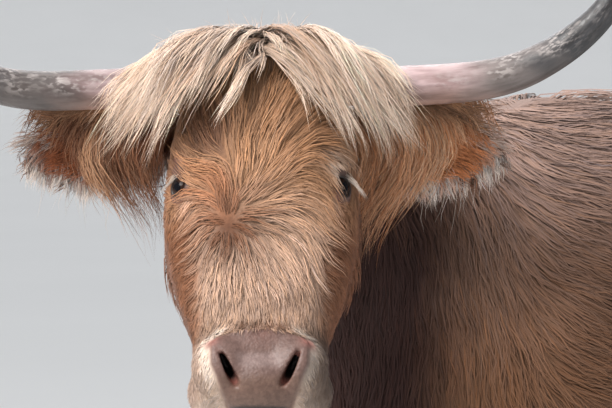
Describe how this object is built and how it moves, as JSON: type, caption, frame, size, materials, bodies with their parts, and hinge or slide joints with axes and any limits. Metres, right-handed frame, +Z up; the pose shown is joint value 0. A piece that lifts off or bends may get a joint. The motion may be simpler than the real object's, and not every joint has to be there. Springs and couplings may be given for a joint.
{
  "type": "highland cow",
  "caption": "Life-size still highland cow with a long shaggy coat, forelock and wide upswept horns, standing on four cloven hooves with her head turned to her left.",
  "frame": {"origin": "on the floor, under the middle of the cow's bounding box", "axes": "+Z up; the body faces -Y, its left side is +X, and the head is turned towards +X"},
  "size_m": [0.7478, 2.0302, 1.4069],
  "materials": {
    "hide": "long tan to red-brown hair, paler on the forelock, muzzle and ear fringe, soft and matt with a slight sheen",
    "horn": "horn, pinkish ivory at the base, scuffed grey-brown further out and dark at the tip, satin",
    "hoof": "dark slate-brown hoof horn with fine growth rings, dull",
    "eye": "wet, glossy dark brown eye with a wide level pupil"
  },
  "bodies": {
    "root": {"head": "hide", "neck": "hide", "torso": "hide", "tail": "hide", "ear_left": "hide", "ear_right": "hide", "leg_front_left": "hide", "leg_front_right": "hide", "leg_hind_left": "hide", "leg_hind_right": "hide", "horn_left": "horn", "horn_right": "horn", "hoof_front_left": "hoof", "hoof_front_right": "hoof", "hoof_hind_left": "hoof", "hoof_hind_right": "hoof", "eye_left": "eye", "eye_right": "eye"}
  },
  "joints": []
}
